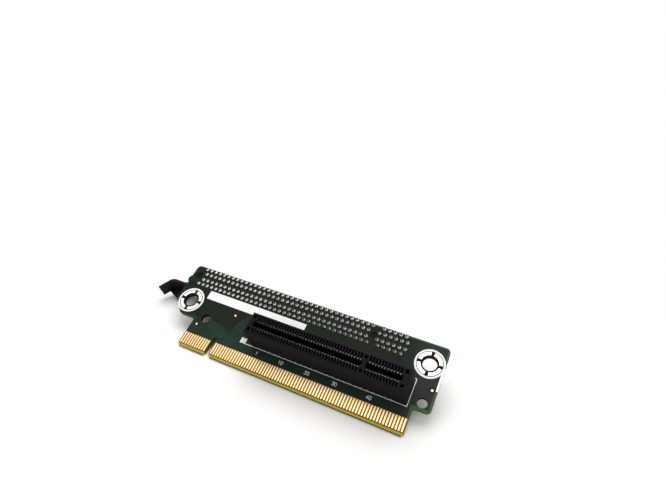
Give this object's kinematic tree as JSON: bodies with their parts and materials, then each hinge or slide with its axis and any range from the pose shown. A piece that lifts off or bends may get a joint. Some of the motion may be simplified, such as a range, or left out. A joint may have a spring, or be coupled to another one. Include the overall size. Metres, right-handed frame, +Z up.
{
  "type": "pcie riser card",
  "caption": "Low circuit board with a keyed card edge, a card slot on each face, mounting holes and a swinging card latch.",
  "frame": {"origin": "centre of the bounding box, at its base; the card lies as it rests on a table, on its card edge and the near rim of the x16 slot", "axes": "+X along the board from the latch end to the other, +Y from the card edge towards the top of the board, +Z up, the front face with the x8 slot looking up"},
  "size_m": [0.1142, 0.0338, 0.0182],
  "materials": {
    "solder_mask": "satin dark green solder mask on glass laminate",
    "gold": "gold plated, bright",
    "tin": "tinned, slightly uneven",
    "solder": "satin solder",
    "slot_plastic": "matt black moulding",
    "latch_plastic": "matt black moulding",
    "spring_metal": "plated spring metal",
    "steel": "turned steel"
  },
  "bodies": {
    "riser_card": {"circuit_board": "solder_mask", "front_edge_contacts": "gold", "back_edge_contacts": "gold", "front_mounting_pads": "tin", "back_mounting_pads": "tin", "edge_ground_strip": "tin", "x8_slot_housing": "slot_plastic", "x16_slot_housing": "slot_plastic", "latch_pivot_pin": "steel", "x8_slot_first_row_contacts": "spring_metal", "x8_slot_second_row_contacts": "spring_metal", "x16_slot_first_row_contacts": "spring_metal", "x16_slot_second_row_contacts": "spring_metal", "x8_slot_first_row_solder": "solder", "x8_slot_second_row_solder": "solder", "x16_slot_first_row_solder": "solder", "x16_slot_second_row_solder": "solder"},
    "card_latch": {"card_latch_lever": "latch_plastic"}
  },
  "joints": [
    {"name": "latch_pivot", "type": "hinge", "parent": "riser_card", "child": "card_latch", "pos_m": [-0.04458, 0.00908, 0.00677], "axis": [0, -0.4288, 0.9034], "range_deg": [0, 18]}
  ]
}
